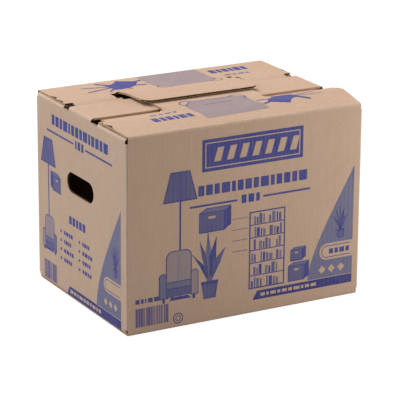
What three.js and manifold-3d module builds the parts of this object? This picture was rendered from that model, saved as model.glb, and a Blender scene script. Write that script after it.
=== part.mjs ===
// Folded corrugated carton with an interlocking top, millimetres, +Z up.
// Origin at the centre of the base. X runs along the long walls, the front is -Y.
import * as THREE from 'three';
import { mergeVertices } from 'three/addons/utils/BufferGeometryUtils.js';
import Module from 'manifold-3d';

const wasm = await Module();
wasm.setup();

// Driving sizes
const length = 400;
const width = 300;
const height = 300;
const board = 3;
const layerGap = 0.4;
const foldRadius = 4.5;
const cornerRadius = 3;
const cornerSlot = 3;
const cornerSlotDepth = 7;

// Top closure
const tabWidth = 74;
const notchWidth = 19;
const notchDepth = 16;
const tabOverlap = 8;
const tabCornerRadius = 8;
const centreHalf = 87;
const slitWidth = 2;
const slitStart = 12;
const centreReach = 22;
const tongueHalf = 98;
const tongueReach = 16;
const tongueLift = 2;
const tongueLiftLength = 46;
const tongueCornerRadius = 15;
const earSlotWidth = 14;
const earSlotNeck = 6;
const earSlotHole = 24;
const earSlotLength = 74;
const earGap = 3;
const dipLength = 18;
const wingLength = 110;
const wingSlope = 3;
const wingSideGap = 3;
const archRight = 11.2;
const archLeft = 1.6;
const archRidge = 51;

// Hand holes
const handLength = 89;
const handHeight = 32;
const handCentre = 187.6;

// Bottom closure
const bottomSeam = 1;
const bottomFlapLength = 140;
const glueFlapWidth = 35;
const glueFlapMargin = 14;

// Levels of the outer faces, built up from the end walls' crease
const layer = board + layerGap;
const wingLevel = height;
const earLevel = wingLevel;
const longLevel = wingLevel + layer;
const tabLevel = earLevel + layer;
const centreLevel = tabLevel + layer;
const tongueLevel = centreLevel + layer;
const tabHalf = tabWidth / 2;
const halfL = length / 2;
const halfW = width / 2;
const ringTop = height - cornerSlotDepth;
const ringBottom = board + cornerSlotDepth;
const tabLength = halfL - centreHalf + tabOverlap;
const longHalf = halfL - cornerSlot;
const endHalf = halfW - board - wingSideGap / 2;
const bendStep = 5;
const lap = 2;

function smooth(edge0, edge1, x) {
  const k = Math.min(1, Math.max(0, (x - edge0) / (edge1 - edge0)));
  return k * k * (3 - 2 * k);
}

function solidOf(geometry) {
  const bare = geometry.clone();
  bare.deleteAttribute('normal');
  bare.deleteAttribute('uv');
  const merged = mergeVertices(bare, 1e-4);
  const vertProperties = new Float32Array(merged.attributes.position.array);
  const triVerts = new Uint32Array(merged.index.array);
  return new wasm.Manifold(new wasm.Mesh({ numProp: 3, vertProperties, triVerts }));
}

function geometryOf(solid) {
  const mesh = solid.getMesh();
  const geometry = new THREE.BufferGeometry();
  geometry.setAttribute('position', new THREE.BufferAttribute(new Float32Array(mesh.vertProperties), 3));
  geometry.setIndex(new THREE.BufferAttribute(new Uint32Array(mesh.triVerts), 1));
  geometry.computeVertexNormals();
  return geometry;
}

// A bent sheet that leaves a wall, turns over its crease and runs inward.
// across: positions along the crease, runs: distances from the wall's outer face,
// level(v, s): height of the outer face, keep(v, s): true where there is board.
function bentSheet({ across, runs, level, keep, start, place }) {
  const columns = across.length;
  const outer = [];
  const inner = [];
  const rows = bendStep + 2 + runs.length;
  for (let j = 0; j < columns; j += 1) {
    const v = across[j];
    const crease = level(v, foldRadius);
    const path = [[0, start]];
    for (let k = 0; k <= bendStep; k += 1) {
      const turn = (Math.PI / 2) * (k / bendStep);
      const d = foldRadius - foldRadius * Math.cos(turn);
      path.push([d, crease - foldRadius + foldRadius * Math.sin(turn)]);
    }
    for (const s of runs) {
      path.push([s, level(v, s)]);
    }
    for (let i = 0; i < rows; i += 1) {
      const a = path[Math.max(0, i - 1)];
      const b = path[Math.min(rows - 1, i + 1)];
      let td = b[0] - a[0];
      let tz = b[1] - a[1];
      if (i > 0 && i <= bendStep + 1) {
        const turn = (Math.PI / 2) * ((i - 1) / bendStep);
        td = Math.sin(turn);
        tz = Math.cos(turn);
      }
      const size = Math.hypot(td, tz);
      outer.push([path[i][0], v, path[i][1]]);
      inner.push([path[i][0] + (board * tz) / size, v, path[i][1] - (board * td) / size]);
    }
  }
  const points = outer.concat(inner).map(([d, v, z]) => place(d, v, z));
  const base = outer.length;
  const at = (i, j) => j * rows + i;
  const runAt = (i) => (i <= bendStep + 1 ? foldRadius : runs[i - bendStep - 2]);
  const has = (i, j) => {
    if (i < 0 || j < 0 || i >= rows - 1 || j >= columns - 1) {
      return false;
    }
    const s = i <= bendStep ? foldRadius / 2 : (runAt(i) + runAt(i + 1)) / 2;
    return keep((across[j] + across[j + 1]) / 2, s);
  };
  const faces = [];
  const quad = (a, b, c, d) => {
    faces.push([a, b, c], [a, c, d]);
  };
  for (let j = 0; j < columns - 1; j += 1) {
    for (let i = 0; i < rows - 1; i += 1) {
      if (has(i, j)) {
        const p = [at(i, j), at(i + 1, j), at(i + 1, j + 1), at(i, j + 1)];
        quad(p[0], p[1], p[2], p[3]);
        quad(p[3] + base, p[2] + base, p[1] + base, p[0] + base);
        if (!has(i - 1, j)) {
          quad(p[3], p[3] + base, p[0] + base, p[0]);
        }
        if (!has(i + 1, j)) {
          quad(p[1], p[1] + base, p[2] + base, p[2]);
        }
        if (!has(i, j - 1)) {
          quad(p[0], p[0] + base, p[1] + base, p[1]);
        }
        if (!has(i, j + 1)) {
          quad(p[2], p[2] + base, p[3] + base, p[3]);
        }
      }
    }
  }
  const corner = (n) => points[n];
  let volume = 0;
  for (const [a, b, c] of faces) {
    const [p, q, r] = [corner(a), corner(b), corner(c)];
    volume += p[0] * (q[1] * r[2] - q[2] * r[1]);
    volume += p[1] * (q[2] * r[0] - q[0] * r[2]);
    volume += p[2] * (q[0] * r[1] - q[1] * r[0]);
  }
  const index = faces.flatMap(([a, b, c]) => (volume > 0 ? [a, b, c] : [a, c, b]));
  const geometry = new THREE.BufferGeometry();
  geometry.setAttribute('position', new THREE.Float32BufferAttribute(points.flat(), 3));
  geometry.setIndex(index);
  return solidOf(geometry);
}

function steps(list) {
  const sorted = [...list].sort((a, b) => a - b);
  return sorted.filter((value, n) => n === 0 || value - sorted[n - 1] > 0.3);
}

function mirrored(list) {
  return steps(list.flatMap((value) => [value, -value]));
}

function spread(from, to, count) {
  return Array.from({ length: count + 1 }, (_, n) => from + ((to - from) * n) / count);
}

function prism(shape, low, high) {
  const geometry = new THREE.ExtrudeGeometry(shape, { depth: high - low, bevelEnabled: false, curveSegments: 6 });
  geometry.translate(0, 0, low);
  return solidOf(geometry);
}

// Corner piece that rounds a square corner at (x, y); sx and sy point out of the sheet.
function cornerCut(x, y, sx, sy, radius) {
  const cx = x - sx * radius;
  const cy = y - sy * radius;
  const points = [new THREE.Vector2(x + sx, y + sy)];
  points.push(new THREE.Vector2(cx, y + sy));
  for (const turn of spread(0, Math.PI / 2, 6)) {
    points.push(new THREE.Vector2(cx + sx * radius * Math.sin(turn), cy + sy * radius * Math.cos(turn)));
  }
  points.push(new THREE.Vector2(x + sx, cy));
  return new THREE.Shape(points);
}

function roundedRectangle(halfX, halfY, radius) {
  const shape = new THREE.Shape();
  shape.moveTo(-halfX + radius, -halfY);
  shape.lineTo(halfX - radius, -halfY);
  shape.absarc(halfX - radius, -halfY + radius, radius, -Math.PI / 2, 0, false);
  shape.lineTo(halfX, halfY - radius);
  shape.absarc(halfX - radius, halfY - radius, radius, 0, Math.PI / 2, false);
  shape.lineTo(-halfX + radius, halfY);
  shape.absarc(-halfX + radius, halfY - radius, radius, Math.PI / 2, Math.PI, false);
  shape.lineTo(-halfX, -halfY + radius);
  shape.absarc(-halfX + radius, -halfY + radius, radius, Math.PI, Math.PI * 1.5, false);
  return shape;
}

const front = (d, v, z) => [v, -halfW + d, z];
const back = (d, v, z) => [-v, halfW - d, z];
const left = (d, v, z) => [-halfL + d, -v, z];
const right = (d, v, z) => [halfL - d, v, z];
const flipped = (place) => (d, v, z) => place(d, v, -z);

// Walls: an open ring of board with a hand hole in each end
const ringShape = roundedRectangle(halfL, halfW, cornerRadius);
ringShape.holes.push(roundedRectangle(halfL - board, halfW - board, cornerRadius / 3));
let carton = prism(ringShape, ringBottom, ringTop);

// Front flap: arched, its ears go down under the tabs, its centre rises over the tabs' ends
const earEnd = halfW - earGap / 2;
const dipEnd = halfW - tabHalf - 1;
const slitRow = halfW - tabHalf - slitStart;
const notchRow = halfW - tabHalf - notchWidth;
const earHalf = halfL - notchDepth;
function frontLevel(v, s) {
  const arch = archLeft + (archRight - archLeft) * Math.pow((v + longHalf) / (2 * longHalf), 1.5);
  const rise = Math.min(s / archRidge, (dipEnd - s) / (dipEnd - archRidge));
  const tent = Math.max(0, rise);
  const soft = tent - 0.03 * smooth(0.7, 1, tent);
  const change = smooth(dipEnd - 2 * dipLength, dipEnd, s);
  const blend = Math.max(0.01, 24 * (1 - smooth(slitRow - 8, dipEnd - 1, s)));
  const side = smooth(centreHalf - blend, centreHalf + blend, Math.abs(v));
  const lift = (centreLevel - longLevel) * (1 - side) - (longLevel - earLevel) * side;
  return longLevel + arch * soft + lift * change;
}
const frontEnd = halfW + centreReach;
const frontFlap = bentSheet({
  across: mirrored([0, 30, 60, centreHalf - 20, centreHalf - 8, centreHalf - slitWidth / 2,
    centreHalf + slitWidth / 2, centreHalf + 9, centreHalf + 22, 140, 165, earHalf, longHalf]),
  runs: steps([10, 20, 30, 40, 47, archRidge, 55, 62, 70, 78, 86, notchRow, slitRow, slitRow + 4,
    slitRow + 8, dipEnd, dipEnd + 12, halfW - 12, earEnd, frontEnd]),
  level: frontLevel,
  keep: (v, s) => {
    const a = Math.abs(v);
    if (a < centreHalf - slitWidth / 2) {
      return true;
    }
    if (a > earHalf && s > notchRow) {
      return false;
    }
    return a < centreHalf + slitWidth / 2 ? s < slitRow : s < earEnd;
  },
  start: ringTop - lap,
  place: front,
});

// Back flap: ears under the tabs and a tongue over the front flap's centre
const tongueEnd = halfW + tongueReach;
const tongueFlat = halfW - centreReach - 4;
const slotInner = tongueHalf;
const slotOuter = tongueHalf + earSlotWidth;
const slotRow = halfW - earSlotLength;
function backLevel(v, s) {
  const a = Math.abs(v);
  const lift = tongueLift * smooth(tongueEnd - tongueLiftLength, tongueEnd, s);
  const tongue = (tongueLevel - longLevel) * smooth(slotRow - 30, tongueFlat, s) + lift;
  const ear = (earLevel - longLevel) * smooth(dipEnd - dipLength, dipEnd, s);
  const blend = 14 * (1 - smooth(slotRow - 20, slotRow + 1, s)) + earSlotNeck / 2;
  const middle = slotInner + earSlotNeck / 2;
  const side = smooth(middle - blend, middle + blend, a);
  return longLevel + tongue * (1 - side) + ear * side;
}
const backFlap = bentSheet({
  across: mirrored([0, 40, 75, 88, slotInner, slotInner + earSlotNeck, slotOuter, slotOuter + 12,
    155, earHalf, longHalf]),
  runs: steps([15, slotRow - 30, slotRow - 20, slotRow - 10, slotRow, slotRow + 8, notchRow,
    slotRow + earSlotHole, slotRow + 30, dipEnd, tongueFlat, halfW - 8, earEnd, halfW + 6, tongueEnd]),
  level: backLevel,
  keep: (v, s) => {
    const a = Math.abs(v);
    if (a < slotInner) {
      return true;
    }
    if (a > earHalf && s > notchRow) {
      return false;
    }
    if (a > slotInner + earSlotNeck && s > slotRow + earSlotHole) {
      return s < earEnd;
    }
    return a < slotOuter ? s < slotRow : s < earEnd;
  },
  start: ringTop - lap,
  place: back,
});

// End flaps: a tab over the ears, and wings that slope down under the long flaps
const wingStart = tabHalf + notchWidth;
function endLevel(v, s) {
  if (Math.abs(v) < tabHalf + notchWidth / 2) {
    return tabLevel;
  }
  return wingLevel - Math.max(0, s - foldRadius) * Math.tan((wingSlope * Math.PI) / 180);
}
function endFlap(place) {
  return bentSheet({
    across: mirrored([0, tabHalf, wingStart, endHalf]),
    runs: steps([wingLength * 0.5, wingLength, tabLength]),
    level: endLevel,
    keep: (v, s) => {
      const a = Math.abs(v);
      if (a > wingStart) {
        return s < wingLength;
      }
      return a < tabHalf;
    },
    start: ringTop - lap,
    place,
  });
}

// Bottom flaps: the long pair outside meets on the centre line, the end pair lies inside
function bottomFlap(place, reach, crease, half) {
  return bentSheet({
    across: mirrored([0, half]),
    runs: [reach],
    level: () => -crease,
    keep: () => true,
    start: -ringBottom - lap,
    place: flipped(place),
  });
}
const bottomReach = halfW - bottomSeam / 2;

function add(piece) {
  carton = carton.add(piece);
}
add(frontFlap);
add(backFlap);
add(endFlap(left));
add(endFlap(right));
add(bottomFlap(front, bottomReach, 0, longHalf));
add(bottomFlap(back, bottomReach, 0, longHalf));
add(bottomFlap(left, bottomFlapLength, layer, endHalf));
add(bottomFlap(right, bottomFlapLength, layer, endHalf));

// Glue flap inside the back wall, at the right end
const glueHeight = height - 2 * glueFlapMargin;
const glueFlap = new THREE.BoxGeometry(glueFlapWidth, board * 1.5, glueHeight);
glueFlap.translate(halfL - board - glueFlapWidth / 2 + 0.5, halfW - board * 1.25, height / 2);
add(solidOf(glueFlap));

// Walls' top edge behind the notches beside each tab
const stripLow = ringTop - lap;
const stripTop = wingLevel - foldRadius / 2;
for (const side of [-1, 1]) {
  const strip = new THREE.BoxGeometry(board, 2 * wingStart + 2, stripTop - stripLow);
  strip.translate(side * (halfL - board / 2), 0, (stripLow + stripTop) / 2);
  add(solidOf(strip));
}

function cut(piece) {
  carton = carton.subtract(piece);
}

// Round corners of the tongue and of the tabs
const high = tongueLevel + 20;
for (const side of [-1, 1]) {
  const tongueLow = centreLevel + layerGap / 2;
  cut(prism(cornerCut(side * tongueHalf, halfW - tongueEnd, side, -1, tongueCornerRadius), tongueLow, high));
  const tabX = side * (halfL - tabLength);
  const tabLow = earLevel + layerGap / 2;
  const tabHigh = tabLevel + layerGap / 2;
  cut(prism(cornerCut(tabX, tabHalf, -side, 1, tabCornerRadius), tabLow, tabHigh));
  cut(prism(cornerCut(tabX, -tabHalf, -side, -1, tabCornerRadius), tabLow, tabHigh));
}

// Hand holes
const handRadius = handHeight / 2;
const handStraight = handLength / 2 - handRadius;
const handShape = new THREE.Shape();
handShape.moveTo(-handStraight, -handRadius);
handShape.lineTo(handStraight, -handRadius);
handShape.absarc(handStraight, 0, handRadius, -Math.PI / 2, Math.PI / 2, false);
handShape.lineTo(-handStraight, handRadius);
handShape.absarc(-handStraight, 0, handRadius, Math.PI / 2, Math.PI * 1.5, false);
for (const side of [-1, 1]) {
  const plug = new THREE.ExtrudeGeometry(handShape, { depth: board * 4, bevelEnabled: false, curveSegments: 10 });
  plug.translate(0, 0, -board * 2);
  plug.rotateX(Math.PI / 2);
  plug.rotateZ(Math.PI / 2);
  plug.translate(side * (halfL - board / 2), 0, handCentre);
  cut(solidOf(plug));
}

const group = new THREE.Group();
const kraft = new THREE.MeshStandardMaterial({ color: 0xc9a582, roughness: 0.85, metalness: 0 });
const mesh = new THREE.Mesh(geometryOf(carton), kraft);
mesh.name = 'carton';
group.add(mesh);

export default group;
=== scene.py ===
import math
import random
import bpy
import bmesh
from mathutils import Matrix, Vector


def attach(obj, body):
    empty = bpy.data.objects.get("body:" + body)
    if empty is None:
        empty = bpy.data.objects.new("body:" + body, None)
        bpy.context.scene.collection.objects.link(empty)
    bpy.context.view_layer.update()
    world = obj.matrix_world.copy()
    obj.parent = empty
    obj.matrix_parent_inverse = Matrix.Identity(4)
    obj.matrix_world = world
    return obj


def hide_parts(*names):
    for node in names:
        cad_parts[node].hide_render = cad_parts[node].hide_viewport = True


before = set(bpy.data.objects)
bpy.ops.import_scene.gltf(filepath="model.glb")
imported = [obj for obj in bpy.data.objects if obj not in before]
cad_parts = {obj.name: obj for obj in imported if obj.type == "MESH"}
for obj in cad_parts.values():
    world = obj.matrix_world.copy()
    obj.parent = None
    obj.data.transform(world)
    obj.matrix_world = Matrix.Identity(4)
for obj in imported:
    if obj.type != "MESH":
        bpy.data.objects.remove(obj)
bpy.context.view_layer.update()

# Sizes in millimetres, as in the CAD model
LENGTH, WIDTH, HEIGHT = 400.0, 300.0, 300.0
BOARD, GAP = 3.0, 0.4
FOLD = 4.5
CORNER = 3.0
SLOT, SLOT_DEPTH = 3.0, 7.0
TAB_WIDTH, NOTCH, NOTCH_DEPTH = 74.0, 19.0, 16.0
TAB_OVERLAP, TAB_ROUND = 8.0, 8.0
CENTRE_HALF, SLIT, SLIT_START, CENTRE_REACH = 87.0, 2.0, 12.0, 22.0
TONGUE_HALF, TONGUE_REACH, TONGUE_ROUND = 98.0, 16.0, 15.0
TONGUE_LIFT, TONGUE_LIFT_LENGTH = 2.0, 46.0
EAR_SLOT, EAR_SLOT_LENGTH, EAR_GAP, DIP = 14.0, 74.0, 3.0, 18.0
EAR_NECK, EAR_HOLE = 6.0, 24.0
WING_LENGTH, WING_SLOPE = 110.0, 3.0
ARCH_RIGHT, ARCH_LEFT, RIDGE = 11.2, 1.6, 51.0
HAND_LENGTH, HAND_HEIGHT, HAND_Z = 89.0, 32.0, 187.6
# Sizes that only the visual model has: liner, fluted paper, and the torn root of the tongue
LINER = 0.45
FLUTE, WAVE_STEP, WAVE_GAP = 7.2, 0.9, 0.08
TORN_WIDTH, TORN_LENGTH = 9.0, 14.0

# Levels of the top's sheets, each a layer above the one below
LAYER = BOARD + GAP
LONG_LEVEL = HEIGHT + LAYER
TAB_LEVEL = HEIGHT + LAYER
CENTRE_LEVEL = TAB_LEVEL + LAYER
TONGUE_LEVEL = CENTRE_LEVEL + LAYER
# Places along a wall, from its middle, and along a flap, from its crease
TAB_HALF = TAB_WIDTH / 2
HL, HW = LENGTH / 2, WIDTH / 2
RING_TOP = HEIGHT - SLOT_DEPTH
RING_BOTTOM = BOARD + SLOT_DEPTH
TAB_LENGTH = HL - CENTRE_HALF + TAB_OVERLAP
LONG_HALF = HL - SLOT
END_HALF = HW - BOARD - 1.5
EAR_END = HW - EAR_GAP / 2
DIP_END = HW - TAB_HALF - 1
SLIT_ROW = HW - TAB_HALF - SLIT_START
FRONT_END = HW + CENTRE_REACH
TONGUE_END = HW + TONGUE_REACH
TONGUE_FLAT = HW - CENTRE_REACH - 4
SLOT_IN, SLOT_OUT = TONGUE_HALF, TONGUE_HALF + EAR_SLOT
SLOT_ROW = HW - EAR_SLOT_LENGTH
WING_START = TAB_HALF + NOTCH
NOTCH_ROW = HW - WING_START
EAR_HALF = HL - NOTCH_DEPTH


def smooth(a, b, x):
    k = min(1.0, max(0.0, (x - a) / (b - a)))
    return k * k * (3 - 2 * k)


# The board's material slots, in the order in which they are given to the carton
OUTER, INNER_WITH_SHADE, EDGE, CAVITY_SHADE, INSIDE_SHADE, CORE_SHADE = range(6)
# The ink slots, in the order of INKS
DARK_INK, MID_INK, PALE_INK, GREY_INK, PAPER, TORN_SHADE, DEEP_INK = range(7)


# ------------ levels and outlines of the flaps
# v runs along the crease from its middle and s from the crease to the flap's end
def front_level(v, s):
    """Arched, more at its right end; the centre rises over the tabs and the ears dip under them."""
    arch = ARCH_LEFT + (ARCH_RIGHT - ARCH_LEFT) * max(0.0, (v + LONG_HALF) / (2 * LONG_HALF)) ** 1.5
    tent = max(0.0, min(s / RIDGE, (DIP_END - s) / (DIP_END - RIDGE)))
    soft = tent - 0.03 * smooth(0.7, 1, tent)
    change = smooth(DIP_END - 2 * DIP, DIP_END, s)
    blend = max(0.01, 24 * (1 - smooth(SLIT_ROW - 8, DIP_END - 1, s)))
    side = smooth(CENTRE_HALF - blend, CENTRE_HALF + blend, abs(v))
    lift = (CENTRE_LEVEL - LONG_LEVEL) * (1 - side) - (LONG_LEVEL - HEIGHT) * side
    return LONG_LEVEL + arch * soft + lift * change


def back_level(v, s):
    """The tongue rises over the front flap's centre and the ears dip under the tabs."""
    a = abs(v)
    lift = TONGUE_LIFT * smooth(TONGUE_END - TONGUE_LIFT_LENGTH, TONGUE_END, s)
    tongue = (TONGUE_LEVEL - LONG_LEVEL) * smooth(SLOT_ROW - 30, TONGUE_FLAT, s) + lift
    ear = (HEIGHT - LONG_LEVEL) * smooth(DIP_END - DIP, DIP_END, s)
    blend = 14 * (1 - smooth(SLOT_ROW - 20, SLOT_ROW + 1, s)) + EAR_NECK / 2
    middle = SLOT_IN + EAR_NECK / 2
    side = smooth(middle - blend, middle + blend, a)
    return LONG_LEVEL + tongue * (1 - side) + ear * side


def end_level(v, s):
    """The tab lies level and the wings beside it slope down."""
    if abs(v) < TAB_HALF + NOTCH / 2:
        return TAB_LEVEL
    return HEIGHT - max(0.0, s - FOLD) * math.tan(math.radians(WING_SLOPE))


def front_keep(v, s):
    a = abs(v)
    if a < CENTRE_HALF - SLIT / 2:
        return True
    if a > EAR_HALF and s > NOTCH_ROW:
        return False
    return s < SLIT_ROW if a < CENTRE_HALF + SLIT / 2 else s < EAR_END


def back_keep(v, s):
    a = abs(v)
    if a < SLOT_IN:
        torn = v < 0 and a > SLOT_IN - TORN_WIDTH and SLOT_ROW < s < SLOT_ROW + TORN_LENGTH
        return not torn
    if a > EAR_HALF and s > NOTCH_ROW:
        return False
    if a > SLOT_IN + EAR_NECK and s > SLOT_ROW + EAR_HOLE:
        return s < EAR_END
    return s < SLOT_ROW if a < SLOT_OUT else s < EAR_END


def end_keep(v, s):
    a = abs(v)
    return s < WING_LENGTH if a > WING_START else a < TAB_HALF


def rounded_end(end, half, radius, base):
    """Pulls the rows of a flap back at its end's two corners."""
    def fit(v, s):
        a = abs(v)
        if s <= base or a <= half - radius or a > half + 0.01:
            return s
        drop = radius - math.sqrt(max(0.0, radius ** 2 - (a - half + radius) ** 2))
        return base + (s - base) * (end - drop - base) / (end - base)
    return fit


# Places on the four walls: depth inwards from the wall, position along it as seen from outside, height
def front_of(d, v, z):
    return (v, -HW + d, z)


def back_of(d, v, z):
    return (-v, HW - d, z)


def left_of(d, v, z):
    return (-HL + d, -v, z)


def right_of(d, v, z):
    return (HL - d, v, z)


def quarter_turn(count):
    return [math.pi / 2 * k / count for k in range(count + 1)]


def as_is(v, s):
    return s


def turned(place):
    return lambda d, v, z: place(d, v, -z)


def steps(values, least=0.3):
    """Sorted values without those that lie closer than least."""
    out = []
    for x in sorted(values):
        if not out or x - out[-1] > least:
            out.append(x)
    return out


def both(values):
    return steps([x for v in values for x in (v, -v)])


def filled(values, most):
    """The same values with more between them, so that no gap is wider than most."""
    out = []
    for a, b in zip(values, values[1:]):
        n = max(1, math.ceil((b - a) / most))
        out += [a + (b - a) * k / n for k in range(n)]
    return out + [values[-1]]


MM = 0.001
WELD = 0.002 * MM
SHARP = math.radians(35)


def linked(name, data):
    obj = bpy.data.objects.new(name, data)
    bpy.context.scene.collection.objects.link(obj)
    return obj


class Builder:
    """Collects points and faces, with a slot, a UV and a wear-and-highlight value for each."""

    def __init__(self):
        self.points, self.wear, self.uv = [], [], []
        self.faces, self.slots = [], []

    def point(self, co, uv, wear=0.0):
        self.points.append(co)
        self.uv.append(uv)
        self.wear.append(wear)
        return len(self.points) - 1

    def face(self, indices, slot):
        self.faces.append(indices)
        self.slots.append(slot)

    def object(self, name, materials):
        mesh = bpy.data.meshes.new(name)
        mesh.from_pydata([tuple(c * MM for c in p) for p in self.points], [], self.faces)
        mesh.polygons.foreach_set("material_index", self.slots)
        layer = mesh.uv_layers.new(name="board")
        for loop in mesh.loops:
            u, w = self.uv[loop.vertex_index]
            layer.data[loop.index].uv = (u * MM, w * MM)
        attribute = mesh.attributes.new("wear", "FLOAT", "CORNER")
        attribute.data.foreach_set("value", [self.wear[loop.vertex_index] for loop in mesh.loops])
        welded = bmesh.new()
        welded.from_mesh(mesh)
        bmesh.ops.remove_doubles(welded, verts=welded.verts, dist=WELD)
        welded.to_mesh(mesh)
        welded.free()
        mesh.polygons.foreach_set("use_smooth", [True] * len(mesh.polygons))
        mesh.set_sharp_from_angle(angle=SHARP)
        for m in materials:
            mesh.materials.append(m)
        mesh.update()
        return linked(name, mesh)


BEND = 8


def sheet_points(across, runs, level, start, fit):
    """For each position across: rows of (depth, z, normal depth, normal z, path length, wear and painted
    highlight).
    """
    columns = []
    for v in across:
        crease = level(v, FOLD)
        path = [(0.0, start)]
        path += [(FOLD - FOLD * math.cos(t), crease - FOLD + FOLD * math.sin(t))
                 for t in quarter_turn(BEND)]
        path += [(fit(v, s), level(v, fit(v, s))) for s in runs]
        rows, travelled = [], 0.0
        for i, (d, z) in enumerate(path):
            a, b = path[max(0, i - 1)], path[min(len(path) - 1, i + 1)]
            td, tz = b[0] - a[0], b[1] - a[1]
            if 0 < i <= BEND + 1:
                t = math.pi / 2 * (i - 1) / BEND
                td, tz = math.sin(t), math.cos(t)
            n = math.hypot(td, tz)
            if i:
                travelled += math.hypot(d - path[i - 1][0], z - path[i - 1][1])
            # The crease's bend is marked for lightening: partly wear, partly painted highlight
            wear = 1.0 if 2 <= i <= BEND else 0.0
            rows.append((d, z, tz / n, -td / n, travelled, wear))
        columns.append(rows)
    return columns


def add_sheet(b, across, runs, level, keep, start, place, fit=as_is, low=0.0, high=BOARD,
              slots=(OUTER, INNER_WITH_SHADE, EDGE), rim=None, shade_where=None, crease_end=EDGE):
    """A sheet between two depths, bent at its crease.

    Cut edges along the flutes reach to the depth rim, and are left out when rim is less than low.
    """
    rim = high if rim is None else rim
    columns = sheet_points(across, runs, level, start, fit)
    count = len(columns[0])
    ids = {}

    def vertex(i, j, depth):
        key = (i, j, depth)
        if key not in ids:
            d, z, nd, nz, run, wear = columns[j][i]
            ids[key] = b.point(place(d + nd * depth, across[j], z + nz * depth), (across[j], run), wear)
        return ids[key]

    def mid(i):
        if i <= BEND:
            return FOLD / 2
        lower = FOLD if i == BEND + 1 else runs[i - BEND - 2]
        return (lower + runs[i - BEND - 1]) / 2

    def has(i, j):
        if i < 0 or j < 0 or i >= count - 1 or j >= len(across) - 1:
            return False
        return keep((across[j] + across[j + 1]) / 2, mid(i))

    for j in range(len(across) - 1):
        for i in range(count - 1):
            if not has(i, j):
                continue
            ring = [(i, j), (i + 1, j), (i + 1, j + 1), (i, j + 1)]
            up = [vertex(p, q, low) for p, q in ring]
            down = [vertex(p, q, high) for p, q in ring]
            # Painted shade where the mask marks a face that lies under another flap
            under = shade_where is not None and shade_where(across[j], mid(i))
            b.face(up, INSIDE_SHADE if under else slots[0])
            b.face(down[::-1], slots[1])
            for side, (e, f) in enumerate(((3, 0), (1, 2), (0, 1), (2, 3))):
                near = ((i - 1, j), (i + 1, j), (i, j - 1), (i, j + 1))[side]
                if has(*near) or (side > 1 and rim < low):
                    continue
                if side > 1 and rim > high:
                    far = [vertex(*ring[e], rim), vertex(*ring[f], rim)]
                else:
                    far = [down[e], down[f]]
                at_crease = side > 1 and i <= BEND
                b.face([up[e], far[0], far[1], up[f]], crease_end if at_crease else slots[2])


def add_wave(b, across, runs, level, keep, start, place, fit=as_is):
    """The fluted paper between the two liners of a flap."""
    first, span = across[0], across[-1] - across[0]
    parts = round(span / WAVE_STEP)
    fine = steps([first + span * k / parts for k in range(parts + 1)], 0.2)
    columns = sheet_points(fine, runs, level, start, fit)
    count = len(columns[0])
    ids = {}
    reach = BOARD / 2 - LINER - WAVE_GAP

    def vertex(i, j):
        if (i, j) not in ids:
            d, z, nd, nz, run, _ = columns[j][i]
            depth = BOARD / 2 + reach * math.sin(2 * math.pi * fine[j] / FLUTE)
            ids[(i, j)] = b.point(place(d + nd * depth, fine[j], z + nz * depth), (fine[j], run), 0.0)
        return ids[(i, j)]

    for j in range(len(fine) - 1):
        for i in range(BEND + 1, count - 1):
            lower = FOLD if i == BEND + 1 else runs[i - BEND - 2]
            if keep((fine[j] + fine[j + 1]) / 2, (lower + runs[i - BEND - 1]) / 2):
                b.face([vertex(i, j), vertex(i + 1, j), vertex(i + 1, j + 1), vertex(i, j + 1)], EDGE)


# ------------ materials
def srgb(r, g, b):
    def lin(c):
        c = c / 255
        return c / 12.92 if c <= 0.04045 else ((c + 0.055) / 1.055) ** 2.4
    return (lin(r), lin(g), lin(b), 1.0)


def new_group(name, inputs, outputs):
    g = bpy.data.node_groups.new(name, "ShaderNodeTree")
    for title, kind, value in inputs:
        g.interface.new_socket(title, in_out="INPUT", socket_type="NodeSocket" + kind).default_value = value
    for title, kind in outputs:
        g.interface.new_socket(title, in_out="OUTPUT", socket_type="NodeSocket" + kind)
    return g, g.nodes.new("NodeGroupInput"), g.nodes.new("NodeGroupOutput")


def link(g, a, b):
    g.links.new(a, b)


def give(g, node, values):
    """Sets or links a node's inputs, by name or number."""
    for title, value in values.items():
        if isinstance(value, (int, float, tuple)):
            node.inputs[title].default_value = value
        else:
            link(g, value, node.inputs[title])


def made(g, kind, values, **settings):
    """A new shader node with its settings and inputs."""
    node = g.nodes.new("ShaderNode" + kind)
    for title, value in settings.items():
        setattr(node, title, value)
    give(g, node, values)
    return node


def noise(g, vector, scale, detail=3.0, rough=0.55):
    values = {"Vector": vector, "Scale": scale, "Detail": detail, "Roughness": rough}
    return made(g, "TexNoise", values).outputs["Fac"]


def math_node(g, op, *values, clamp=False):
    return made(g, "Math", dict(enumerate(values)), operation=op, use_clamp=clamp).outputs[0]


def ranged(g, x, a, b, c=0.0, d=1.0):
    values = {"Value": x, "From Min": a, "From Max": b, "To Min": c, "To Max": d}
    return made(g, "MapRange", values).outputs["Result"]


def mixed(g, fac, a, b):
    return made(g, "Mix", {0: fac, 6: a, 7: b}, data_type="RGBA").outputs[2]


def stretched(g, vector, scale):
    return made(g, "Mapping", {"Vector": vector, "Scale": scale}).outputs["Vector"]


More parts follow.
